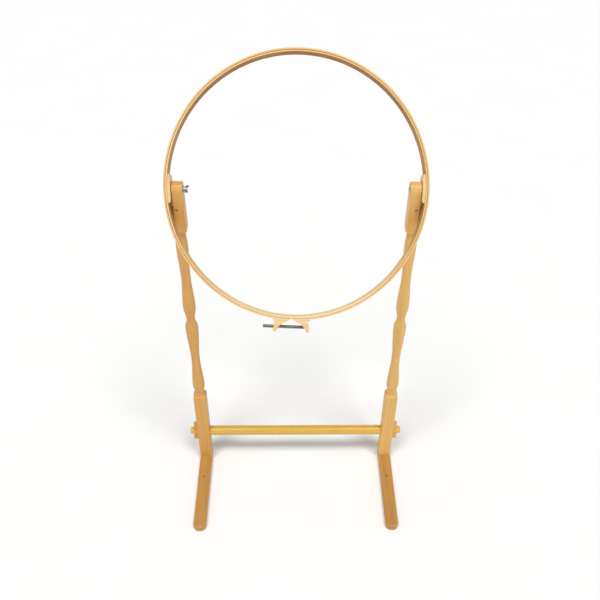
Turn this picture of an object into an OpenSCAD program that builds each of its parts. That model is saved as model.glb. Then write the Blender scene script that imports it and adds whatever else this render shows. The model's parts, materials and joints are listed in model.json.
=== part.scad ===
// Round quilting hoop on a two-post floor stand.
// Origin: on the floor, midway between the posts and midway between the toes of the feet
// and the back of the leaning hoop. +X right, -Y front, +Z up.

/* [Stand] */
// Distance between the centre lines of the two posts
post_spacing = 533; // [522:1:540]
// Side of the square stock of the posts, and width of the feet
stock = 34; // [33:1:38]
// Length of each foot, front to back
foot_length = 286; // [240:1:320]
// Thickness of each foot
foot_height = 19; // [16:1:24]
// Height of the stretcher's centre line
stretcher_height = 114; // [100:1:150]
// Diameter of the stretcher between the posts
stretcher_d = 28; // [24:1:30]
// Diameter of the stretcher's round tenons
tenon_d = 20; // [18:1:22]
// How far a tenon stands out past its post
tenon_reach = 22; // [20:1:30]

/* [Hoop] */
// Outside diameter of the outer hoop
hoop_d = 580; // [578:1:582]
// Width of the bent wood bands, along the hoop's axis
band_w = 38; // [34:1:40]
// Thickness of each bent wood band
band_t = 4; // [3.5:0.5:4]
// Space between the two bands, for the cloth
cloth_gap = 0.3; // [0.3:0.1:0.6]
// How far the hoop leans back from upright, as it stands
hoop_lean = 32; // [28:0.5:60]
// Height of the pivot axis above the floor
pivot_height = 917; // [900:1:925]
// How far the pivot axis lies below the hoop's middle
pivot_drop = 1; // [0:1:6]
// Turn of the closure away from the bottom of the hoop
closure_turn = -2.4; // [-10:0.1:10]

/* [Hardware] */
// Diameter of the two pivot bolts
bolt_d = 6.35; // [6:0.05:6.5]
// Diameter of the closure bolt
closure_d = 7.94; // [6.35:0.05:8]
// Span of the wing nut over its wings
wing_span = 29; // [24:1:34]
// Length of closure bolt standing out past the left ear
closure_tail = 24.5; // [10:0.5:30]

/* [Hidden] */
$fn = 96;
fit = 0.05;              // radial clearance of a running or push fit
post_x = post_spacing / 2;
post_y = 49;             // the posts stand this far behind the origin
inner_face = post_x - stock / 2;
outer_face = post_x + stock / 2;
post_top = pivot_height + stock / 2;
hoop_r = hoop_d / 2;
outer_band_r = hoop_r - band_t;
inner_band_or = outer_band_r - cloth_gap;
inner_band_r = inner_band_or - band_t;

// Turned post: block ends, and the swells and necks as [height, radius]
lower_block_top = 268;
upper_block_bottom = 812;
lower_shoulder = 18;
upper_shoulder = 14;
lathe_r = stock * 0.75;
shoulder_r = stock / 2 + 1;
neck_r = 13.5;
beads = [[277.5, 12.4], [307.5, 16.2], [403.5, 11.2], [515.5, 16.4], [543, 10.7], [583, 15.8],
         [677.5, 11.6], [765, 14.3], [806.5, 12]];

// Upper block: round top, and the cheek cut away where the bracket swings and the hoop passes
cheek_x = 273;
cheek_bottom = pivot_height - 43;
least_lean = 28;
top_corner_r = 5;
pin_height = cheek_bottom;
pin_d = 7;

// Foot details
foot_back = stock / 2;
foot_front = foot_back - foot_length;
toe_r = 14;
plug_y = -95;
plug_d = 6;
plug_depth = 12;
screw_d = 4.5;
screw_length = 62;
screw_head_d = 9;
screw_head_h = 2.6;
screw_sink = 0.6;
screw_spread = 9;

// Wedge key: thick end down, inner face flat on the post
key_bottom = 85;
key_height = 60;
key_depth = 15;
key_thick = 14;
key_thin = 10.5;
key_slack = 0.2;

// Bracket between hoop and post
washer_t = 1.5;
washer_d = 18;
bracket_face = cheek_x + washer_t + 0.1;
bracket_length = 66;
bracket_round = 9;
bracket_screw_v = 21;
bracket_screw_d = 3.5;
bracket_screw_head = 7;
bracket_screw_l = 8.4;

// Carriage bolts, nut and wing nut
head_d = 14;
head_h = 3.2;
neck_l = 3.2;
bolt_reach = 9.5;
nut_af = 11.1;
nut_t = 4.5;
hub_d = 12;
hub_tip_d = 9.5;
hub_l = 7;
wing_t = 2.2;

// Closure: two ears with a round arch cut out between them
ear_root = 37.5;
ear_tip = 41.5;
ear_start = 9;
ear_reach = 26.5;
arch_r = 36;
arch_top = hoop_r + 1.6;
closure_gap = 4.4;
closure_bolt_r = 307.5;
ear_face = ear_root + (ear_tip - ear_root) * (closure_bolt_r - hoop_r) / ear_reach;
closure_head_d = 13;
closure_head_h = 5;
insert_d = 12;
insert_l = 8;
ear_tip_r = 3;
ear_fillet = 5;

honey = [0.80, 0.60, 0.35];
honey_dark = [0.76, 0.55, 0.30];
honey_light = [0.86, 0.70, 0.45];
pale = [0.93, 0.78, 0.56];
golden = [0.87, 0.68, 0.34];
steel = [0.42, 0.42, 0.43];
zinc = [0.62, 0.63, 0.65];

// ---------- shared shapes ----------

module rounded_rect(w, h, r) {
    square([w - 2 * r, h], center = true);
    square([w, h - 2 * r], center = true);
    for (sx = [-1, 1], sy = [-1, 1])
        translate([sx * (w / 2 - r), sy * (h / 2 - r)]) circle(r = r);
}

// Cylinder along +X from x0 to x1
module rod_x(x0, x1, d) {
    translate([x0, 0, 0]) rotate([0, 90, 0]) cylinder(d = d, h = x1 - x0);
}

// The modules are drawn round the posts, and the whole object then moves back to its place
module at_posts() {
    translate([0, post_y, 0]) children();
}

// Mirrors a left-hand shape to the right-hand side
module right_side() {
    mirror([1, 0, 0]) children();
}

// Pivot frame: X right along the pivot, Y up the leaning hoop, Z along its axis to the front
module on_pivot() {
    translate([0, 0, pivot_height]) rotate([90 - hoop_lean, 0, 0]) children();
}

// Hoop frame: the same, at the hoop's middle
module on_hoop() {
    on_pivot() translate([0, pivot_drop, 0]) children();
}

// Closure frame: X along the bolt, -Y straight out from the hoop's middle
module on_closure() {
    on_hoop() rotate([0, 0, closure_turn]) children();
}

module washer_x(x0, t, d, bore = bolt_d) {
    difference() {
        rod_x(x0, x0 + t, d);
        rod_x(x0 - 1, x0 + t + 1, bore + 2 * fit);
    }
}

// Round-headed bolt along X: domed head at x0 facing -X, square neck, plain shank to x1
module carriage_bolt(x0, x1) {
    dome_r = (head_d * head_d / 4 + head_h * head_h) / (2 * head_h);
    translate([x0, 0, 0]) rotate([0, -90, 0]) intersection() {
        translate([0, 0, head_h - dome_r]) sphere(r = dome_r);
        cylinder(d = head_d, h = head_h);
    }
    translate([x0, -bolt_d / 2, -bolt_d / 2]) cube([neck_l, bolt_d, bolt_d]);
    rod_x(x0, x1 - 1, bolt_d);
    translate([x1 - 1, 0, 0]) rotate([0, 90, 0]) cylinder(d1 = bolt_d, d2 = bolt_d - 1.6, h = 1);
}

// Hole for such a bolt, with the square socket for its neck
module carriage_hole(x0, x1) {
    hole = bolt_d + 2 * fit;
    translate([x0 - 0.5, -hole / 2, -hole / 2]) cube([neck_l + 0.7, hole, hole]);
    rod_x(x0, x1, hole);
}

module wood_screw(d, length, head, head_height) {
    cylinder(d1 = head, d2 = d, h = head_height);
    translate([0, 0, head_height]) cylinder(d = d, h = length - head_height - 6);
    translate([0, 0, length - 6]) cylinder(d1 = d, d2 = 0.8, h = 6);
}

// ---------- stand ----------

// Radius of the turned part at height z, eased from bead to bead
function bead_at(z, i) =
    let (a = beads[i], b = beads[i + 1], t = (z - a[0]) / (b[0] - a[0]))
    a[1] + (b[1] - a[1]) * (1 - cos(180 * t)) / 2;

// Where the lathe rounds a block's end: its end at z, its length along the post signed
function shoulder(z, length) = [for (k = [0:6]) let (a = 15 * k)
    [shoulder_r + (lathe_r - shoulder_r) * cos(a), z - length * (1 - sin(a))]];

module lathe_outline() {
    steps = 8;
    turned = [for (i = [0:len(beads) - 2], k = [0:steps - 1])
        let (z = beads[i][0] + (beads[i + 1][0] - beads[i][0]) * k / steps) [bead_at(z, i), z]];
    last = beads[len(beads) - 1];
    upper = shoulder(upper_block_bottom, -upper_shoulder);
    polygon(concat(
        [[0, foot_height], [lathe_r, foot_height]],
        shoulder(lower_block_top, lower_shoulder),
        [[neck_r, lower_block_top + 2]],
        turned,
        [[last[1], last[0]], [neck_r, upper_block_bottom - 2]],
        [for (k = [6:-1:0]) upper[k]],
        [[lathe_r, post_top + 1], [0, post_top + 1]]));
}

// Post seen from the front, with the rounded top corners
module post_front() {
    h = post_top - foot_height;
    translate([-post_x, foot_height + h / 2]) rounded_rect(stock, h, top_corner_r);
    translate([-outer_face, foot_height]) square([stock, 2 * top_corner_r]);
}

// Post seen from the side, with its top round about the pivot
module post_side() {
    translate([-stock / 2, foot_height]) square([stock, pivot_height - foot_height]);
    translate([0, pivot_height]) circle(d = stock);
}

// Rear face of the hoop, 1 mm behind its band, at its least lean
function relief_y(z) =
    (band_w / 2 + 1) / cos(least_lean) - (pivot_height - z) * tan(least_lean);

// Outer cheek: sawn off above the bracket's swing, and slantwise in front of it for the hoop
module cheek_cut() {
    low = upper_block_bottom - 10;
    translate([-outer_face - 1, 0, 0]) rotate([90, 0, 90]) linear_extrude(outer_face - cheek_x + 1)
        polygon([[stock, post_top + 1], [relief_y(low), post_top + 1], [relief_y(low), low],
                 [relief_y(cheek_bottom), cheek_bottom], [stock, cheek_bottom]]);
}

module post_shape() {
    difference() {
        intersection() {
            translate([-post_x, 0, foot_height])
                linear_extrude(post_top) rounded_rect(stock, stock, 1.6);
            translate([0, stock, 0]) rotate([90, 0, 0]) linear_extrude(2 * stock) post_front();
            translate([-outer_face - 1, 0, 0]) rotate([90, 0, 90])
                linear_extrude(stock + 2) post_side();
            translate([-post_x, 0, 0]) rotate_extrude() lathe_outline();
        }
        cheek_cut();
        translate([0, 0, stretcher_height])
            rod_x(-outer_face - 1, -inner_face + 1, tenon_d + 2 * fit);
        translate([-post_x, stock, pin_height]) rotate([90, 0, 0])
            cylinder(d = pin_d + 2 * fit, h = 2 * stock);
        post_screw_places() cylinder(d = screw_d + 2 * fit, h = screw_length + 1);
    }
}

module post_screw_places() {
    for (s = [-1, 1]) translate([-post_x, s * screw_spread, 0]) children();
}

module left_post() {
    color(honey) at_posts() difference() {
        post_shape();
        translate([0, 0, pivot_height]) rod_x(-outer_face - 1, -inner_face + 1, bolt_d + 2 * fit);
    }
}

module right_post() {
    color(honey_light) at_posts() difference() {
        right_side() post_shape();
        translate([0, 0, pivot_height]) carriage_hole(inner_face, outer_face + 1);
    }
}

module foot_shape() {
    edge = 2.5;
    difference() {
        translate([-post_x, 0, 0]) intersection() {
            linear_extrude(foot_height) union() {
                translate([0, (foot_back + foot_front) / 2])
                    rounded_rect(stock, foot_length, toe_r);
                translate([-stock / 2 + 1.5, 0]) square([stock - 3, foot_back]);
                translate([0, foot_back - toe_r]) rounded_rect(stock, 2 * toe_r, 3);
            }
            translate([0, foot_back + 1, foot_height / 2 - edge]) rotate([90, 0, 0])
                linear_extrude(foot_length + 2) rounded_rect(stock, foot_height + 2 * edge, edge);
            translate([-stock, (foot_back + foot_front) / 2, foot_height / 2 - edge])
                rotate([90, 0, 90]) linear_extrude(2 * stock)
                rounded_rect(foot_length, foot_height + 2 * edge, 2 * edge);
        }
        post_screw_places() {
            translate([0, 0, -1]) cylinder(d = screw_d + 2 * fit, h = foot_height + 2);
            translate([0, 0, screw_sink])
                cylinder(d1 = screw_head_d + 0.2, d2 = screw_d + 0.2, h = screw_head_h);
            translate([0, 0, -1]) cylinder(d = screw_head_d + 0.2, h = 1 + screw_sink);
        }
        translate([-post_x, plug_y, foot_height - plug_depth])
            cylinder(d = plug_d + 2 * fit, h = plug_depth + 1);
    }
}

module left_foot() {
    color(honey_dark) at_posts() foot_shape();
}

module right_foot() {
    color(honey_dark) at_posts() right_side() foot_shape();
}

module foot_screws() {
    post_screw_places() translate([0, 0, screw_sink])
        wood_screw(screw_d, screw_length - 3, screw_head_d, screw_head_h);
}

module left_foot_screws() {
    color(zinc) at_posts() foot_screws();
}

module right_foot_screws() {
    color(zinc) at_posts() right_side() foot_screws();
}

module foot_plug() {
    translate([-post_x, plug_y, foot_height - plug_depth])
        cylinder(d = plug_d, h = plug_depth - 0.2);
}

module left_foot_plug() {
    color(honey_dark) at_posts() foot_plug();
}

module right_foot_plug() {
    color(honey_dark) at_posts() right_side() foot_plug();
}

module post_pin() {
    translate([-post_x, stock / 2 - 0.1, pin_height]) rotate([90, 0, 0])
        cylinder(d = pin_d, h = stock - 0.2);
}

module left_post_pin() {
    color(honey_dark) at_posts() post_pin();
}

module right_post_pin() {
    color(honey_dark) at_posts() right_side() post_pin();
}

// Key seen from the front, grown by a clearance for its slot
module key_front(slack) {
    polygon([[-outer_face + slack, key_bottom], [-outer_face - key_thick - slack, key_bottom],
             [-outer_face - key_thin - slack, key_bottom + key_height],
             [-outer_face + slack, key_bottom + key_height]]);
}

module stretcher() {
    tip = 2;
    reach = outer_face + tenon_reach;
    color(golden) at_posts() difference() {
        translate([0, 0, stretcher_height]) {
            rod_x(-inner_face, inner_face, stretcher_d);
            rod_x(-reach + tip, reach - tip, tenon_d);
            for (s = [0, 180]) rotate([0, 0, s]) translate([reach - tip, 0, 0])
                rotate([0, 90, 0]) cylinder(d1 = tenon_d, d2 = tenon_d - 2 * tip, h = tip);
        }
        for (s = [0, 1]) mirror([s, 0, 0])
            translate([0, key_depth / 2 + key_slack, 0]) rotate([90, 0, 0])
            linear_extrude(key_depth + 2 * key_slack) key_front(key_slack);
    }
}

module key_shape() {
    edge = 1.2;
    intersection() {
        translate([0, key_depth / 2, 0]) rotate([90, 0, 0]) linear_extrude(key_depth) key_front(0);
        translate([-outer_face - key_thick, 0, key_bottom + key_height / 2]) rotate([90, 0, 90])
            linear_extrude(key_thick) rounded_rect(key_depth, key_height, edge);
    }
}

module left_key() {
    color(honey_dark) at_posts() key_shape();
}

module right_key() {
    color(honey_dark) at_posts() right_side() key_shape();
}

// ---------- hoop ----------

module band(inner_r) {
    translate([0, 0, -band_w / 2]) rotate_extrude($fn = 192)
        translate([inner_r + band_t / 2, band_w / 2]) rounded_rect(band_t, band_w, 1);
}

// Pockets through the inner band for the two bracket screws, on the left
module bracket_screw_places() {
    head_x = sqrt(inner_band_or * inner_band_or - bracket_screw_v * bracket_screw_v) - 0.5;
    for (s = [-1, 1]) translate([-head_x, s * bracket_screw_v, 0]) rotate([0, 90, 0]) children();
}

module bracket_screw_pocket() {
    cylinder(d = bracket_screw_d + 2 * fit, h = bracket_screw_l + 0.4);
    cylinder(d1 = bracket_screw_head + 0.2, d2 = bracket_screw_d, h = 2.2);
    translate([0, 0, -2]) cylinder(d = bracket_screw_head + 0.2, h = 2);
}

module inner_hoop() {
    color(pale) at_posts() on_hoop() difference() {
        band(inner_band_r);
        bracket_screw_places() bracket_screw_pocket();
        right_side() bracket_screw_places() bracket_screw_pocket();
    }
}

module outer_hoop() {
    color(pale) at_posts() difference() {
        on_hoop() band(outer_band_r);
        on_closure() translate([-closure_gap / 2, -hoop_r - 5, -band_w])
            cube([closure_gap, band_t + 10, 2 * band_w]);
    }
}

module bracket_block() {
    depth = inner_band_r - bracket_face + 20;
    translate([0, 0, -band_w / 2]) linear_extrude(band_w) intersection() {
        circle(r = inner_band_r, $fn = 192);
        translate([-bracket_face - depth / 2, 0]) rounded_rect(depth, bracket_length, bracket_round);
    }
}

// Left bracket: socket for the bolt's neck and head under the inner band
module left_bracket() {
    seat_x = -inner_band_r + head_h + 0.1;
    color(pale) at_posts() on_hoop() difference() {
        bracket_block();
        translate([0, -pivot_drop, 0]) {
            rod_x(-inner_band_r - 1, seat_x, head_d + 0.4);
            carriage_hole(seat_x, -bracket_face + 1);
        }
        bracket_screw_places() bracket_screw_pocket();
    }
}

// Right bracket: hexagon socket for the nut under the inner band
module right_bracket() {
    nut_x = inner_band_r - nut_t - 0.6;
    color(pale) at_posts() on_hoop() difference() {
        right_side() bracket_block();
        translate([0, -pivot_drop, 0]) {
            translate([nut_x - 0.01, 0, 0]) rotate([0, 90, 0])
                cylinder(d = (nut_af + 0.2) / cos(30), h = nut_t + 2, $fn = 6);
            rod_x(bracket_face - 1, nut_x, bolt_d + 2 * fit);
        }
        right_side() bracket_screw_places() bracket_screw_pocket();
    }
}

module bracket_screws() {
    on_hoop() bracket_screw_places()
        wood_screw(bracket_screw_d, bracket_screw_l, bracket_screw_head, 2.1);
}

module left_bracket_screws() {
    color(zinc) at_posts() bracket_screws();
}

module right_bracket_screws() {
    color(zinc) at_posts() right_side() bracket_screws();
}

// ---------- pivot hardware ----------

module left_pivot_bolt() {
    color(steel) at_posts() on_pivot() translate([-inner_band_r + head_h + 0.1, 0, 0])
        carriage_bolt(0, inner_band_r - head_h - inner_face + bolt_reach);
}

module left_pivot_washer() {
    color(zinc) at_posts() translate([0, 0, pivot_height]) right_side() washer_x(cheek_x, washer_t, washer_d);
}

module right_pivot_washer() {
    color(zinc) at_posts() translate([0, 0, pivot_height]) washer_x(cheek_x, washer_t, washer_d);
}

module left_nut_washer() {
    color(zinc) at_posts() translate([0, 0, pivot_height]) right_side()
        washer_x(inner_face - 1.2, 1.2, 15);
}

// Wing nut: coned hub with two round-ended wings, which lean outwards
module left_wing_nut() {
    hub_x = -inner_face + 1.4;
    color(steel) at_posts() translate([hub_x, 0, pivot_height]) difference() {
        union() {
            rotate([0, 90, 0]) cylinder(d1 = hub_d, d2 = hub_tip_d, h = hub_l);
            for (s = [0, 180]) rotate([s, 0, 0]) translate([0, 0, -wing_t / 2])
                linear_extrude(wing_t) wing_outline();
        }
        rod_x(-1, hub_l + 1, bolt_d + 2 * fit);
    }
}

module wing_outline() {
    tip_r = 3.6;
    tip = [hub_l + 0.2, wing_span / 2 - tip_r];
    translate(tip) circle(r = tip_r);
    polygon([[1, hub_d / 2 - 1.5], [hub_l - 0.5, hub_tip_d / 2 - 1], [tip[0] + tip_r, tip[1] - 0.5],
             [tip[0] - 1.9, tip[1] + 3.05], [tip[0] - tip_r, tip[1] + 0.3]]);
}

module right_pivot_bolt() {
    color(steel) at_posts() translate([0, 0, pivot_height])
        carriage_bolt(inner_face, inner_band_r - 0.6);
}

module right_pivot_nut() {
    nut_x = inner_band_r - nut_t - 0.5;
    color(zinc) at_posts() on_pivot() difference() {
        translate([nut_x, 0, 0]) rotate([0, 90, 0])
            cylinder(d = nut_af / cos(30), h = nut_t - 1, $fn = 6);
        rod_x(nut_x - 1, nut_x + nut_t, bolt_d + 2 * fit);
    }
}

// ---------- closure ----------

// Ear on the left of the gap, seen along the hoop's axis: it flares from root to tip
module ear_front() {
    tip_y = -hoop_r - ear_reach;
    difference() {
        union() {
            polygon([[-ear_start, -hoop_r + ear_fillet], [-ear_root, -hoop_r + ear_fillet],
                     [-ear_root, -hoop_r], [-ear_tip, tip_y + ear_tip_r],
                     [-ear_tip + ear_tip_r, tip_y], [-ear_start, tip_y]]);
            translate([-ear_tip + ear_tip_r, tip_y + ear_tip_r]) circle(r = ear_tip_r);
            translate([-ear_root - ear_fillet, -hoop_r - ear_fillet])
                square([ear_root + ear_fillet - ear_start, 2 * ear_fillet]);
        }
        circle(r = hoop_r + 0.05, $fn = 192);
        translate([0, -arch_top - arch_r]) circle(r = arch_r);
        translate([-ear_root - ear_fillet,
                   -sqrt(hoop_r * hoop_r - ear_root * ear_root) - ear_fillet - 1.2])
            circle(r = ear_fillet);
    }
}

module ear_block() {
    translate([0, 0, -band_w / 2]) linear_extrude(band_w) ear_front();
}

module left_ear() {
    color(pale) at_posts() on_closure() difference() {
        ear_block();
        translate([0, -closure_bolt_r, 0]) {
            rod_x(-2 * ear_tip, 0, closure_d + 2 * fit);
            rod_x(-2 * ear_tip, -ear_face + insert_l, insert_d + 2 * fit);
        }
    }
}

module right_ear() {
    color(pale) at_posts() on_closure() difference() {
        mirror([1, 0, 0]) ear_block();
        translate([0, -closure_bolt_r, 0]) {
            rod_x(0, 2 * ear_tip, closure_d + 2 * fit);
            rod_x(ear_face - closure_head_h - 1.8, 2 * ear_tip, closure_head_d + 2);
        }
    }
}

module closure_insert() {
    color(steel) at_posts() on_closure() translate([0, -closure_bolt_r, 0]) difference() {
        rod_x(-ear_face + 0.8, -ear_face + insert_l - 0.1, insert_d);
        rod_x(-2 * ear_tip, 0, closure_d + 2 * fit);
    }
}

module closure_washer() {
    seat = ear_face - closure_head_h - 1.8;
    color(zinc) at_posts() on_closure() translate([0, -closure_bolt_r, 0])
        washer_x(seat, 0.8, closure_head_d + 1.6, closure_d);
}

// Slotted cheese-head bolt, sunk in the right ear
module closure_bolt() {
    seat = ear_face - closure_head_h - 0.9;
    tail = ear_face + closure_tail;
    color(steel) at_posts() on_closure() translate([0, -closure_bolt_r, 0]) difference() {
        union() {
            rod_x(seat, seat + closure_head_h, closure_head_d);
            rod_x(-tail + 1.2, seat, closure_d);
            translate([-tail, 0, 0]) rotate([0, 90, 0])
                cylinder(d1 = closure_d - 2, d2 = closure_d, h = 1.2);
        }
        translate([seat + closure_head_h - 1.8, -closure_head_d, -0.8])
            cube([3, 2 * closure_head_d, 1.6]);
    }
}

left_post();
right_post();
left_foot();
right_foot();
left_foot_screws();
right_foot_screws();
left_foot_plug();
right_foot_plug();
left_post_pin();
right_post_pin();
stretcher();
left_key();
right_key();
inner_hoop();
outer_hoop();
left_bracket();
right_bracket();
left_bracket_screws();
right_bracket_screws();
left_ear();
right_ear();
closure_bolt();
closure_insert();
closure_washer();
left_pivot_bolt();
left_pivot_washer();
left_nut_washer();
left_wing_nut();
right_pivot_bolt();
right_pivot_washer();
right_pivot_nut();
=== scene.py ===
import json
import math

import bmesh
import bpy
from mathutils import Euler, Matrix, Vector

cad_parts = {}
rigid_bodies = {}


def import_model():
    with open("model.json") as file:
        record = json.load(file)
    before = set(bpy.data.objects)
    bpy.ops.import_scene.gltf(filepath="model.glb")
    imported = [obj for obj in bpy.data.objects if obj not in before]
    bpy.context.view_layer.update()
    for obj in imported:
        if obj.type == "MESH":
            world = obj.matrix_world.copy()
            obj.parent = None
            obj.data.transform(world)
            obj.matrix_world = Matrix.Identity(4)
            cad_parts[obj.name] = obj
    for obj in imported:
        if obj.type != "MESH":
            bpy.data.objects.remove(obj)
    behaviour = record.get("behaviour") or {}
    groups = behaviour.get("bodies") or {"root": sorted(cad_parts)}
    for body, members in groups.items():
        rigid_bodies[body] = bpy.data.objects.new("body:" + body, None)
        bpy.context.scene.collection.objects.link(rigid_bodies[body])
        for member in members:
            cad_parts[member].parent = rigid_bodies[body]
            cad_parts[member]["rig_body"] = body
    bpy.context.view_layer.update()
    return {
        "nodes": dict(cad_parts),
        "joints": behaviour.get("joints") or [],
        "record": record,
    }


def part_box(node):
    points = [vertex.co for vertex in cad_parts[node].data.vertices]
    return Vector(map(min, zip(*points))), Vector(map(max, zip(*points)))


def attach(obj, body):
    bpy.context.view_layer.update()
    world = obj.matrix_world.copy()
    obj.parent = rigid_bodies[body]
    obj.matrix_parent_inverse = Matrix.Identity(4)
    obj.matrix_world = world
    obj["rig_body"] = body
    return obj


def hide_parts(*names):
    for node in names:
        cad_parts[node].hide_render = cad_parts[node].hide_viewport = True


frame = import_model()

X, Y, Z = Vector((1, 0, 0)), Vector((0, 1, 0)), Vector((0, 0, 1))
MM = 0.001


def joint(name):
    """(point, axis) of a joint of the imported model; a slide has no point."""
    found = next(j for j in frame["joints"] if j["name"] == name)
    return Vector(found.get("pos_m", (0, 0, 0))), Vector(found["axis"]).normalized()


# ---------- measures taken from the frame ----------

PIVOT = joint("hoop_tilt")[0]
BOLT_PLACE, BOLT_AXIS = joint("closure_bolt_turn")
HOOP_NORMAL = joint("outer_hoop_slide")[1]
HOOP_LEAN = math.asin(HOOP_NORMAL.z)
HOOP_CENTRE = sum(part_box("inner_hoop"), Vector()) / 2
HOOP_TURN = -(math.pi / 2 - HOOP_LEAN)
HOOP_R = (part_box("outer_hoop")[1].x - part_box("outer_hoop")[0].x) / 2
SEAM_R, INSIDE_R = HOOP_R - 4.15 * MM, HOOP_R - 8.3 * MM


def span(node, origin, axis):
    """How far along a line a CAD node starts and ends."""
    reach = [(v.co - origin).dot(axis) for v in frame["nodes"][node].data.vertices]
    return min(reach), max(reach)


# ---------- node trees ----------


class Net:
    """A material's nodes, added one at a time."""

    def __init__(self, name):
        self.material = bpy.data.materials.new(name)
        self.material.use_nodes = True
        self.tree = self.material.node_tree
        self.shader = self.tree.nodes["Principled BSDF"]
        self.place = self.add("TexCoord", {}).outputs["Object"]

    def put(self, socket, value):
        if isinstance(value, bpy.types.NodeSocket):
            self.tree.links.new(value, socket)
        else:
            socket.default_value = value

    def add(self, kind, inputs, **settings):
        node = self.tree.nodes.new("ShaderNode" + kind)
        for key, value in settings.items():
            setattr(node, key, value)
        for key, value in inputs.items():
            self.put(node.inputs[key], value)
        return node

    def math(self, operation, a, b=0.0):
        return self.add("Math", {0: a, 1: b}, operation=operation).outputs[0]

    def noise(self, vector, scale, detail=3.0, rough=0.5, distortion=0.0):
        inputs = {"Vector": vector, "Scale": scale, "Detail": detail}
        inputs.update({"Roughness": rough, "Distortion": distortion})
        return self.add("TexNoise", inputs).outputs["Fac"]

    def stretch(self, vector, factors, shift=(0, 0, 0)):
        return self.add("Mapping", {0: vector, "Location": shift, "Scale": factors}).outputs[0]

    def between(self, value, low, high, out_low=0.0, out_high=1.0):
        inputs = {0: value, 1: low, 2: high, 3: out_low, 4: out_high}
        return self.add("MapRange", inputs, interpolation_type="SMOOTHSTEP").outputs[0]

    def mix(self, factor, a, b, blend="MIX"):
        inputs = {0: factor, 6: a, 7: b}
        return self.add("Mix", inputs, data_type="RGBA", blend_type=blend).outputs[2]

    def bump(self, height, distance, strength):
        inputs = {"Height": height, "Distance": distance, "Strength": strength}
        self.put(self.shader.inputs["Normal"], self.add("Bump", inputs).outputs[0])

    def surface(self, color, roughness, **constants):
        self.put(self.shader.inputs["Base Color"], color)
        self.put(self.shader.inputs["Roughness"], roughness)
        for key, value in constants.items():
            self.shader.inputs[key.replace("_", " ").title()].default_value = value


def rgb(red, green, blue):
    return (red, green, blue, 1.0)


def darker(color, factor):
    return rgb(*(factor * part for part in color[:3]))


# ---------- wood ----------


def along(net, axis):
    """Grain space of a straight piece: the grain runs along the first coordinate."""
    parts = net.add("SeparateXYZ", {0: net.place}).outputs
    order = {"X": (0, 1, 2), "Y": (1, 2, 0), "Z": (2, 0, 1)}[axis]
    return net.add("CombineXYZ", {i: parts[k] for i, k in enumerate(order)}).outputs[0]


def around(net):
    """Grain space of a bent band: along the ring, across its thickness, across its width."""
    rotation = Euler((HOOP_TURN, 0, 0))
    shift = -(rotation.to_matrix() @ HOOP_CENTRE)
    flat = net.add("Mapping", {0: net.place, "Location": shift, "Rotation": rotation}).outputs[0]
    x, y, z = net.add("SeparateXYZ", {0: flat}).outputs
    radius = net.math("SQRT", net.math("ADD", net.math("MULTIPLY", x, x), net.math("MULTIPLY", y, y)))
    turn = net.math("MULTIPLY", net.math("ARCTAN2", x, y), HOOP_R)
    return net.add("CombineXYZ", {0: turn, 1: radius, 2: z}).outputs[0]


def band_painted_light_and_dirt(net, space, color):
    """Paints light on the ring's low side, shade with some settled varnish into the bands' seam, and shade
    on the ring's inside.
    """
    turn, radius, across = net.add("SeparateXYZ", {0: space}).outputs
    upward = net.math("COSINE", net.math("DIVIDE", turn, HOOP_R))
    # Painted light: the ring's low side is mixed towards a lighter colour
    color = net.mix(net.between(upward, -0.95, -0.6, 0.42, 0.0), color, LOW_SIDE_PAINTED_LIGHT)
    # Painted shade in the groove between the two bands at their front and back edges, together with varnish
    # settled there
    off_seam = net.math("ABSOLUTE", net.math("SUBTRACT", radius, SEAM_R))
    edge = net.between(net.math("ABSOLUTE", across), 17 * MM, 18.5 * MM)
    seam = net.math("MULTIPLY", edge, net.between(off_seam, 0.2 * MM, 1.1 * MM, 0.65, 0.0))
    color = net.mix(seam, color, SEAM_SHADE_AND_DIRT)
    # Painted shade on the ring's inside face: darker towards the lower sides, and a little towards the top
    low, high = net.between(upward, -0.7, -0.2, 0.0, 0.68), net.between(upward, 0.2, 0.8, 0.0, 0.28)
    inside = net.between(radius, INSIDE_R + 0.3 * MM, INSIDE_R + 0.9 * MM, 1.0, 0.0)
    painted_inside_shade = net.math("MULTIPLY", net.math("ADD", low, high), inside)
    return net.mix(painted_inside_shade, color, INSIDE_PAINTED_SHADE)


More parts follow.
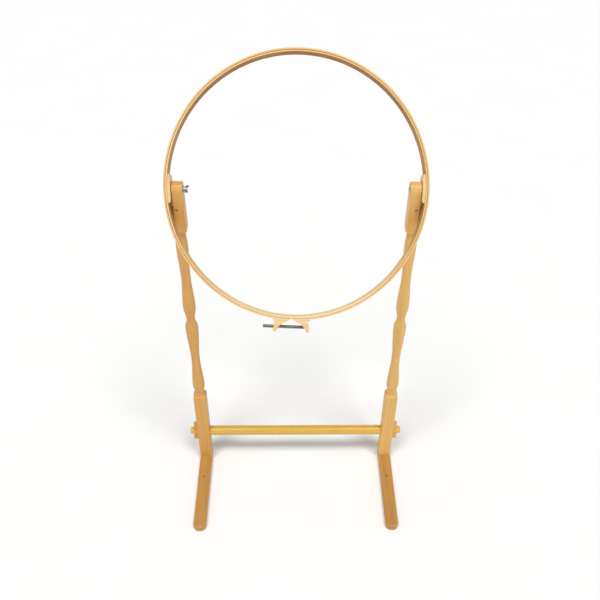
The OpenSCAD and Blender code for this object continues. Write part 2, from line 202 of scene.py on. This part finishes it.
def wood(name, grain, light, dark, seed, gloss=0.45, coat=0.12, shine=0.3):
    """Close-grained varnished hardwood: growth bands, fibre streaks, short pores and uneven varnish."""
    net = Net(name)
    space = around(net) if grain == "ring" else along(net, grain)
    shift = (0.37 * seed, 0.61 * seed, 0.23 * seed)
    bands = net.noise(net.stretch(space, (2.2, 70, 70), shift), 1.0, 4.0, 0.55, 0.6)
    fibres = net.noise(net.stretch(space, (14, 900, 900), shift), 1.0, 3.0, 0.6)
    pores = net.noise(net.stretch(space, (110, 2600, 2600), shift), 1.0, 1.0, 0.5)
    stain = net.noise(net.stretch(space, (7, 20, 20), shift), 1.0, 2.0, 0.5)
    color = net.mix(net.between(bands, 0.32, 0.70), light, dark)
    deep = rgb(0.80 * dark[0], 0.74 * dark[1], 0.66 * dark[2])
    color = net.mix(net.between(fibres, 0.42, 0.85, 0.0, 0.5), color, deep)
    fleck = net.between(pores, 0.64, 0.74, 0.0, 0.4)
    color = net.mix(fleck, color, darker(deep, 0.45))
    color = net.mix(net.between(stain, 0.35, 0.75, 0.0, 0.35), color, VARNISH, "MULTIPLY")
    # A bent band also gets painted light and shade, and some varnish in its seam
    if grain == "ring":
        color = band_painted_light_and_dirt(net, space, color)
    rubbed = net.noise(net.stretch(space, (30, 45, 45), shift), 1.0, 4.0, 0.6)
    roughness = net.between(rubbed, 0.3, 0.75, gloss - 0.06, gloss + 0.14)
    net.surface(color, roughness, coat_weight=coat, coat_roughness=0.2)
    net.shader.inputs["Specular IOR Level"].default_value = shine
    relief = net.math("ADD", net.math("MULTIPLY", fibres, 0.6), net.math("MULTIPLY", fleck, -1.4))
    net.bump(relief, 0.12 * MM, 0.5)
    return net.material


def end_grain(name, light, dark, seed):
    """Sawn-across wood of a plug or pin: rings, open pores, and varnish soaked in dark."""
    net = Net(name)
    shift = (0.41 * seed, 0.29 * seed, 0.57 * seed)
    rings = net.noise(net.stretch(net.place, (420, 420, 420), shift), 1.0, 3.0, 0.6, 1.2)
    pores = net.noise(net.stretch(net.place, (2400, 2400, 2400), shift), 1.0, 1.0, 0.5)
    color = net.mix(net.between(rings, 0.35, 0.68), light, dark)
    color = net.mix(net.between(pores, 0.6, 0.72, 0.0, 0.6), color, darker(dark, 0.4))
    net.surface(color, net.between(rings, 0.3, 0.7, 0.42, 0.6), coat_weight=0.2, coat_roughness=0.25)
    net.bump(pores, 0.08 * MM, 0.4)
    return net.material


# ---------- metal and floor ----------


def plated(name, light, dark, roughness, seed):
    """Zinc-plated steel: dulled in clouds, with fine handling scratches."""
    net = Net(name)
    shift = (0.7 * seed, 0.3 * seed, 0.9 * seed)
    clouds = net.noise(net.stretch(net.place, (260, 260, 260), shift), 1.0, 4.0, 0.6)
    scratches = net.noise(net.stretch(net.place, (300, 4200, 4200), shift), 1.0, 2.0, 0.6)
    color = net.mix(net.between(clouds, 0.3, 0.7), light, dark)
    rough = net.between(clouds, 0.3, 0.7, roughness - 0.08, roughness + 0.12)
    rough = net.math("ADD", rough, net.between(scratches, 0.55, 0.75, 0.0, 0.12))
    net.surface(color, rough, metallic=1.0)
    net.bump(scratches, 0.02 * MM, 0.35)
    return net.material


def pale_floor():
    """Matt white paper, faintly mottled."""
    net = Net("pale_floor")
    mottle = net.noise(net.stretch(net.place, (3, 3, 3)), 1.0, 3.0, 0.6)
    color = net.mix(net.between(mottle, 0.3, 0.7), rgb(0.895, 0.895, 0.89), rgb(0.88, 0.88, 0.876))
    net.surface(color, net.between(mottle, 0.3, 0.7, 0.62, 0.72))
    net.shader.inputs["Specular IOR Level"].default_value = 0.2
    return net.material


HOOP_LIGHT, HOOP_DARK = rgb(0.84, 0.59, 0.29), rgb(0.76, 0.49, 0.205)
# Both posts are one wood: the left is a shaded copy and the right a lit copy, painted shade and painted
# light; each key follows its post
LEFT_LIGHT, LEFT_DARK = rgb(0.69, 0.375, 0.105), rgb(0.60, 0.30, 0.075)
RIGHT_LIGHT, RIGHT_DARK = rgb(0.79, 0.49, 0.162), rgb(0.71, 0.41, 0.12)
PALE_LIGHT, PALE_DARK = rgb(0.82, 0.59, 0.29), rgb(0.73, 0.49, 0.22)
# The right ear's colour is a lit copy of the pale wood: painted light
LIT_PALE_LIGHT, LIT_PALE_DARK = rgb(0.84, 0.62, 0.38), rgb(0.72, 0.50, 0.26)
GOLD_LIGHT, GOLD_DARK = rgb(0.70, 0.435, 0.072), rgb(0.62, 0.36, 0.05)
FOOT_LIGHT, FOOT_DARK = rgb(0.52, 0.275, 0.072), rgb(0.45, 0.22, 0.052)
PLUG_LIGHT, PLUG_DARK = rgb(0.44, 0.22, 0.065), rgb(0.32, 0.145, 0.04)
SOOT, VARNISH = rgb(0.10, 0.05, 0.02), rgb(0.97, 0.90, 0.80)
# Painted light for the ring's low side, painted shade with settled varnish for the seam, painted shade for
# the ring's inside
LOW_SIDE_PAINTED_LIGHT, SEAM_SHADE_AND_DIRT, INSIDE_PAINTED_SHADE = rgb(0.93, 0.76, 0.48), rgb(0.30, 0.15, 0.05), rgb(0.30, 0.125, 0.03)

MATERIALS = {
    "left_post": wood("left_post_wood", "Z", LEFT_LIGHT, LEFT_DARK, 1),
    "right_post": wood("right_post_wood", "Z", RIGHT_LIGHT, RIGHT_DARK, 2),
    "left_foot": wood("left_foot_wood", "Y", FOOT_LIGHT, FOOT_DARK, 3),
    "right_foot": wood("right_foot_wood", "Y", FOOT_LIGHT, FOOT_DARK, 4),
    "stretcher": wood("stretcher_wood", "X", GOLD_LIGHT, GOLD_DARK, 5, 0.3, 0.3),
    "left_key": wood("left_key_wood", "Z", LEFT_LIGHT, LEFT_DARK, 6),
    "right_key": wood("right_key_wood", "Z", RIGHT_LIGHT, RIGHT_DARK, 7),
    "inner_hoop": wood("inner_hoop_wood", "ring", HOOP_LIGHT, HOOP_DARK, 8, 0.55, 0.0, 0.1),
    "outer_hoop": wood("outer_hoop_wood", "ring", HOOP_LIGHT, HOOP_DARK, 9, 0.55, 0.0, 0.1),
    "left_bracket": wood("left_bracket_wood", "Z", PALE_LIGHT, PALE_DARK, 10),
    "right_bracket": wood("right_bracket_wood", "Z", PALE_LIGHT, PALE_DARK, 11),
    "left_ear": wood("left_ear_wood", "X", PALE_LIGHT, PALE_DARK, 12),
    "right_ear": wood("right_ear_wood", "X", LIT_PALE_LIGHT, LIT_PALE_DARK, 13),
    "left_foot_plug": end_grain("left_foot_plug_wood", PLUG_DARK, SOOT, 2),
    "right_foot_plug": end_grain("right_foot_plug_wood", PLUG_DARK, SOOT, 3),
}
END_GRAIN = end_grain("plug_end_grain", PLUG_LIGHT, PLUG_DARK, 1)
STEEL = plated("dull_steel", rgb(0.42, 0.42, 0.44), rgb(0.27, 0.27, 0.285), 0.3, 1)
ZINC = plated("bright_zinc", rgb(0.58, 0.59, 0.61), rgb(0.44, 0.45, 0.47), 0.34, 2)
BY_SLOT = {"plug_wood": END_GRAIN, "steel": STEEL, "zinc": ZINC}
SLOT_OF = {part["node"]: part["material_slot"] for part in frame["record"]["subparts"]}


def finish_of(node):
    return MATERIALS.get(node) or BY_SLOT[SLOT_OF[node]]


for node_name, node_object in frame["nodes"].items():
    node_object.data.materials.clear()
    node_object.data.materials.append(finish_of(node_name))


# ---------- pieces ----------


def piece_from(built, name):
    """Turns a bmesh into an object."""
    bmesh.ops.remove_doubles(built, verts=built.verts, dist=0.002 * MM)
    bmesh.ops.recalc_face_normals(built, faces=built.faces)
    mesh = bpy.data.meshes.new(name)
    built.to_mesh(mesh)
    built.free()
    piece = bpy.data.objects.new(name, mesh)
    bpy.context.scene.collection.objects.link(piece)
    return piece


def stand_for(piece, node, crease=35):
    """Lets a piece stand for a CAD node: smooth, with edges over the crease angle kept sharp."""
    shape = bmesh.new()
    shape.from_mesh(piece.data)
    for face in shape.faces:
        face.smooth = True
    for edge in shape.edges:
        edge.smooth = edge.calc_face_angle(0.0) < math.radians(crease)
    shape.to_mesh(piece.data)
    shape.free()
    piece.data.materials.clear()
    piece.data.materials.append(finish_of(node))
    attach(piece, frame["nodes"][node]["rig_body"])
    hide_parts(node)


def bake_modifiers(piece):
    """Puts the result of a piece's modifiers into its mesh."""
    shown = piece.evaluated_get(bpy.context.evaluated_depsgraph_get())
    mesh = bpy.data.meshes.new_from_object(shown)
    piece.modifiers.clear()
    piece.data = mesh


def carve(piece, cutter):
    """Cuts a bmesh out of a piece."""
    tool = piece_from(cutter, "cutter")
    boolean = piece.modifiers.new("carve", "BOOLEAN")
    boolean.object = tool
    bake_modifiers(piece)
    bpy.data.objects.remove(tool)


def softened(node, voxel, passes):
    """A CAD node with its edges eased, as sanding or casting leaves them."""
    built = bmesh.new()
    built.from_mesh(frame["nodes"][node].data)
    piece = piece_from(built, node + "_eased")
    remesh = piece.modifiers.new("remesh", "REMESH")
    remesh.mode = "VOXEL"
    remesh.voxel_size = voxel
    smooth = piece.modifiers.new("smooth", "SMOOTH")
    smooth.factor = 0.5
    smooth.iterations = passes
    bake_modifiers(piece)
    stand_for(piece, node, 180)


def skin(built, rings):
    """Joins rings of points, each as long as the last, with four-sided faces, and closes both ends."""
    rows = [[built.verts.new(point) for point in ring] for ring in rings]
    for low, high in zip(rows, rows[1:]):
        for k in range(len(low)):
            n = (k + 1) % len(low)
            built.faces.new((low[k], low[n], high[n], high[k]))
    built.faces.new(rows[0][::-1])
    built.faces.new(rows[-1])


# ---------- turned posts ----------

BLOCK_TOP, BLOCK_BOTTOM = 268 * MM, 812 * MM
LOWER_SHOULDER, UPPER_SHOULDER = 18 * MM, 14 * MM
LATHE_R, SHOULDER_R = 25.5 * MM, 18 * MM
CORNER_R, TOP_R, LEAST_WIDTH = 1.6 * MM, 5 * MM, 0.05 * MM
CHEEK, CHEEK_BOTTOM = 273 * MM, PIVOT.z - 43 * MM
LEAST_LEAN, BAND_HALF = math.radians(28), 20 * MM
# Swells and necks of the turned part: (height, radius) in millimetres
BEADS = ((270, 13.5), (277.5, 12.4), (307.5, 16.2), (403.5, 11.2), (515.5, 16.4), (543, 10.7),
         (583, 15.8), (677.5, 11.6), (765, 14.3), (806.5, 12), (810, 13.5))


def shoulder(t):
    """Radius where the lathe rounds a block's end, t from 0 at full stock to 1 at the end."""
    return SHOULDER_R + (LATHE_R - SHOULDER_R) * math.sqrt(max(0.0, 1 - min(1.0, max(0.0, t)) ** 2))


def turned_radius(z):
    if z <= BLOCK_TOP:
        return shoulder((z - BLOCK_TOP + LOWER_SHOULDER) / LOWER_SHOULDER)
    if z >= BLOCK_BOTTOM:
        return shoulder((BLOCK_BOTTOM + UPPER_SHOULDER - z) / UPPER_SHOULDER)
    height = z / MM
    ends = ((BLOCK_TOP / MM, SHOULDER_R / MM),) + BEADS + ((BLOCK_BOTTOM / MM, SHOULDER_R / MM),)
    low, high = next((a, b) for a, b in zip(ends, ends[1:]) if a[0] <= height <= b[0])
    t = (height - low[0]) / (high[0] - low[0])
    ease = (1 - math.cos(math.pi * t)) / 2
    return (low[1] + (high[1] - low[1]) * ease) * MM


def square_outline(half, corner, side_points=12, corner_points=5):
    """Points round a square with rounded corners."""
    points = []
    for quarter in range(4):
        turn = Matrix.Rotation(quarter * math.pi / 2, 2)
        flat = half - corner
        for k in range(side_points):
            points.append(turn @ Vector((half, -flat + 2 * flat * k / side_points)))
        for k in range(corner_points):
            a = math.pi / 2 * k / corner_points
            points.append(turn @ Vector((flat + corner * math.cos(a), flat + corner * math.sin(a))))
    return points


def rounded(z, top, radius, half):
    """Half width at height z of a shape whose top corners are rounded."""
    rise = min(radius, max(0.0, z - (top - radius)))
    return half - radius + math.sqrt(radius * radius - rise * rise)


def post_heights(bottom, top, half):
    """Levels of the rings, close together where the lathe rounds a block and at the round top."""
    lower = [BLOCK_TOP - LOWER_SHOULDER + k * MM for k in range(26)]
    turned = [BLOCK_TOP + (9 + 3 * k) * MM for k in range(178)]
    upper = [BLOCK_BOTTOM + (k - 3) * MM for k in range(19)]
    crown = [top - half + half * math.sin(math.pi / 2 * k / 20) for k in range(21)]
    return [bottom] + lower + turned + upper + crown


def cheek_saw(axis, side):
    """What the saw and the chisel take off the outer cheek, for the bracket and the leaning hoop."""
    def slant(z):
        return axis.y + BAND_HALF / math.cos(LEAST_LEAN) - (PIVOT.z - z) * math.tan(LEAST_LEAN)

    # Past the block's ends and its back, so that the saw comes out on all sides
    low, high, back = BLOCK_BOTTOM - 10 * MM, PIVOT.z + 30 * MM, axis.y + 35 * MM
    outline = ((back, high), (slant(low), high), (slant(low), low),
               (slant(CHEEK_BOTTOM), CHEEK_BOTTOM), (back, CHEEK_BOTTOM))
    built = bmesh.new()
    skin(built, [[(side * x, *point) for point in outline] for x in (CHEEK, CHEEK + 20 * MM)])
    return built


def turned_post(node, side):
    """A post as square rings that the lathe cuts down to circles; side is -1 on the left, 1 on the right."""
    low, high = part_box(node)
    half = (high.y - low.y) / 2
    axis = Vector(((low.x + high.x) / 2, (low.y + high.y) / 2))
    rings = []
    for z in post_heights(low.z, high.z, half):
        reach = turned_radius(z)
        across = rounded(z, high.z, TOP_R, half)
        depth = max(LEAST_WIDTH, rounded(z, high.z, half, half))
        ring = []
        for point in square_outline(half, CORNER_R):
            at = point * min(1.0, reach / point.length)
            ring.append((axis.x + min(max(at.x, -across), across),
                         axis.y + min(max(at.y, -depth), depth), z))
        rings.append(ring)
    built = bmesh.new()
    skin(built, rings)
    piece = piece_from(built, node + "_turned")
    carve(piece, cheek_saw(axis, side))
    stand_for(piece, node)


turned_post("left_post", -1)
turned_post("right_post", 1)


# ---------- eased wood and cast metal ----------

for eased in ("left_ear", "right_ear", "left_bracket", "right_bracket"):
    softened(eased, 0.7 * MM, 4)
for eased in ("left_key", "right_key"):
    softened(eased, 0.5 * MM, 4)
softened("left_wing_nut", 0.25 * MM, 7)


# ---------- pins and plugs ----------


def lathe(built, profile, origin, axis, steps=32):
    """Turns a profile of (distance along the axis, radius) round a line."""
    turn = Z.rotation_difference(axis).to_matrix()
    rings = []
    for reach, radius in profile:
        angles = [2 * math.pi * k / steps for k in range(steps)]
        around_axis = [Vector((radius * math.cos(a), radius * math.sin(a), reach)) for a in angles]
        rings.append([origin + turn @ point for point in around_axis])
    skin(built, rings)


def domed_ends(start, end, radius, rise):
    """Profile of a pin whose ends are slightly crowned."""
    steps = [math.pi / 2 * k / 5 for k in range(6)]
    first = [(start + rise * (1 - math.sin(a)), radius * max(0.04, math.cos(a))) for a in steps]
    last = [(end - rise * (1 - math.sin(a)), radius * max(0.04, math.cos(a))) for a in steps]
    return first[::-1] + last


def pin(node, axis, proud):
    """A crowned pin in place of a CAD one, standing out by proud at both ends."""
    low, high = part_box(node)
    middle = (low + high) / 2
    half = (high - low).dot(axis) / 2
    radius = (high - low).dot(Vector((1, 1, 1)) - axis) / 4
    built = bmesh.new()
    lathe(built, domed_ends(-half - proud, half + proud, radius, 0.35 * MM), middle, axis)
    stand_for(piece_from(built, node + "_crowned"), node)


for pinned in ("left_post_pin", "right_post_pin"):
    pin(pinned, Y, 0.5 * MM)
for plugged in ("left_foot_plug", "right_foot_plug"):
    pin(plugged, Z, 0.0)


# ---------- threaded bolts ----------

PITCH, THREAD_DEPTH, PIVOT_THREAD = 1.27 * MM, 0.62 * MM, 27 * MM


def threaded(built, start, end, radius, origin, axis, steps=24):
    """A screw thread along a line, cut down to the root at both ends."""
    turn = Z.rotation_difference(axis).to_matrix()
    root = radius - THREAD_DEPTH
    shape = ((0.0, root), (0.12, root), (0.5, radius), (0.62, radius))
    turns = math.ceil((end - start) / PITCH) + 1
    rows = []
    for row in range(len(shape) * turns + 1):
        part, size = shape[row % len(shape)]
        lead = start + (row // len(shape) + part - 1) * PITCH
        ring = []
        for k in range(steps):
            reach = min(max(lead + PITCH * k / steps, start), end)
            taper = root - 0.25 * MM + min(reach - start, end - reach)
            a = 2 * math.pi * k / steps
            spoke = min(size, taper)
            point = Vector((spoke * math.cos(a), spoke * math.sin(a), reach))
            ring.append(built.verts.new(origin + turn @ point))
        rows.append(ring)
    for row in range(len(rows) - len(shape) - 1):
        low, high = rows[row], rows[row + 1]
        for k in range(steps - 1):
            built.faces.new((low[k], low[k + 1], high[k + 1], high[k]))
        after, above = rows[row + len(shape)], rows[row + len(shape) + 1]
        built.faces.new((low[-1], after[0], above[0], high[-1]))
    bmesh.ops.remove_doubles(built, verts=built.verts, dist=0.002 * MM)
    bmesh.ops.dissolve_degenerate(built, edges=built.edges, dist=0.001 * MM)
    bmesh.ops.holes_fill(built, edges=[e for e in built.edges if e.is_boundary], sides=0)


def slot_saw(middle, axis, across, size):
    """A screwdriver slot, as a box round a point of the bolt's head."""
    built = bmesh.new()
    bmesh.ops.create_cube(built, size=1.0)
    frame_of = Matrix((across, axis.cross(across), axis)).transposed().to_4x4()
    frame_of.translation = middle
    built.transform(frame_of @ Matrix.Diagonal((*size, 1.0)))
    return built


def closure_bolt():
    """Threaded rod across the two ears, with a slotted head sunk in the right one."""
    start, end = span("closure_bolt", BOLT_PLACE, BOLT_AXIS)
    head, radius, shank, ease = 5 * MM, 6.5 * MM, 3.97 * MM, 0.5 * MM
    built = bmesh.new()
    threaded(built, start, end - head + 0.2 * MM, shank, BOLT_PLACE, BOLT_AXIS)
    profile = ((end - head, radius - ease), (end - head + ease, radius), (end - 1.6 * ease, radius),
               (end - 0.5 * ease, radius - 0.4 * ease), (end, radius - 1.8 * ease))
    lathe(built, profile, BOLT_PLACE, BOLT_AXIS)
    piece = piece_from(built, "closure_bolt_threaded")
    across = BOLT_AXIS.cross(HOOP_NORMAL).normalized()
    slot = (3 * radius, 1.6 * MM, 3.6 * MM)
    carve(piece, slot_saw(BOLT_PLACE + BOLT_AXIS * end, BOLT_AXIS, across, slot))
    stand_for(piece, "closure_bolt", 30)


def pivot_bolt():
    """Carriage bolt of the left pivot: domed head, square neck, plain shank, threaded end."""
    start, end = span("left_pivot_bolt", PIVOT, X)
    rise, radius, neck, shank = 3.2 * MM, 7 * MM, 3.2 * MM, 3.175 * MM
    seat = start + rise
    built = bmesh.new()
    steps = [math.pi / 2 * k / 8 for k in range(9)]
    dome = [(seat - rise * math.sin(a), radius * max(0.02, math.cos(a))) for a in steps]
    lathe(built, dome[::-1], PIVOT, X)
    corner = square_outline(shank, 0.3 * MM, 2, 2)
    square = [[PIVOT + Vector((seat + t * neck, p.x, p.y)) for p in corner] for t in (0, 1)]
    skin(built, square)
    plain = shank - 0.1 * MM
    lathe(built, ((seat + neck * 0.5, plain), (end - PIVOT_THREAD + MM, plain)), PIVOT, X)
    threaded(built, end - PIVOT_THREAD, end, shank, PIVOT, X)
    stand_for(piece_from(built, "left_pivot_bolt_threaded"), "left_pivot_bolt", 30)


closure_bolt()
pivot_bolt()


# ---------- floor, light and camera ----------

FLOOR_SIZE, FLOOR_DROP = 240.0, 0.1 * MM
# Lamps: direction and width in degrees
LAMP_AZIMUTH, LAMP_HEIGHT, LAMP_WIDTH, LAMP_STRENGTH = 35, 66, 17, 1.25
# Camera: place in metres, turns in degrees, lens in millimetres, shift in picture widths
CAMERA_PLACE = Vector((-0.0146, -1.4121, 1.7969))
CAMERA_PITCH, CAMERA_YAW, CAMERA_ROLL = 43.41, 1.44, -0.88
CAMERA_LENS, CAMERA_SHIFT = 45.47, (-0.0071, 0.0922)


def floor():
    """Wide pale floor, a hair below the feet so that the two faces don't share a plane."""
    built = bmesh.new()
    bmesh.ops.create_grid(built, x_segments=8, y_segments=8, size=FLOOR_SIZE / 2)
    mesh = bpy.data.meshes.new("floor")
    built.to_mesh(mesh)
    built.free()
    ground = bpy.data.objects.new("floor", mesh)
    ground.location.z = -FLOOR_DROP
    ground.data.materials.append(pale_floor())
    bpy.context.scene.collection.objects.link(ground)


def lamp(name, azimuth):
    """Far soft light, its azimuth in degrees from the front to the right."""
    data = bpy.data.lights.new(name, "SUN")
    data.angle = math.radians(LAMP_WIDTH)
    data.energy = LAMP_STRENGTH
    light = bpy.data.objects.new(name, data)
    light.rotation_euler = Euler((math.radians(90 - LAMP_HEIGHT), 0, math.radians(azimuth)))
    bpy.context.scene.collection.objects.link(light)


def studio():
    """White walls, a darker ceiling, and one lamp on each side in front."""
    world = bpy.data.worlds.new("studio")
    world.use_nodes = True
    nodes, links = world.node_tree.nodes, world.node_tree.links
    direction = nodes.new("ShaderNodeTexCoord").outputs["Generated"]
    parts = nodes.new("ShaderNodeSeparateXYZ")
    links.new(direction, parts.inputs[0])
    ceiling = nodes.new("ShaderNodeMapRange")
    links.new(parts.outputs[2], ceiling.inputs["Value"])
    for key, value in (("From Min", 0.1), ("From Max", 0.8), ("To Min", 0.8), ("To Max", 0.28)):
        ceiling.inputs[key].default_value = value
    links.new(ceiling.outputs[0], nodes["Background"].inputs["Strength"])
    nodes["Background"].inputs["Color"].default_value = rgb(1.0, 1.0, 1.0)
    bpy.context.scene.world = world
    lamp("left_lamp", -LAMP_AZIMUTH)
    lamp("right_lamp", LAMP_AZIMUTH)
    bpy.context.scene.view_settings.view_transform = "Standard"


def camera():
    """Looks down at the hoop from in front; the shift makes the picture a crop of a taller one."""
    data = bpy.data.cameras.new("camera")
    data.lens = CAMERA_LENS
    data.sensor_width = 36.0
    data.shift_x, data.shift_y = CAMERA_SHIFT
    view = bpy.data.objects.new("camera", data)
    turn = Matrix.Rotation(-math.radians(CAMERA_YAW), 4, "Z")
    tilt = Matrix.Rotation(math.radians(90 - CAMERA_PITCH), 4, "X")
    roll = Matrix.Rotation(-math.radians(CAMERA_ROLL), 4, "Z")
    view.matrix_world = Matrix.Translation(CAMERA_PLACE) @ turn @ tilt @ roll
    bpy.context.scene.collection.objects.link(view)
    bpy.context.scene.camera = view


floor()
studio()
camera()
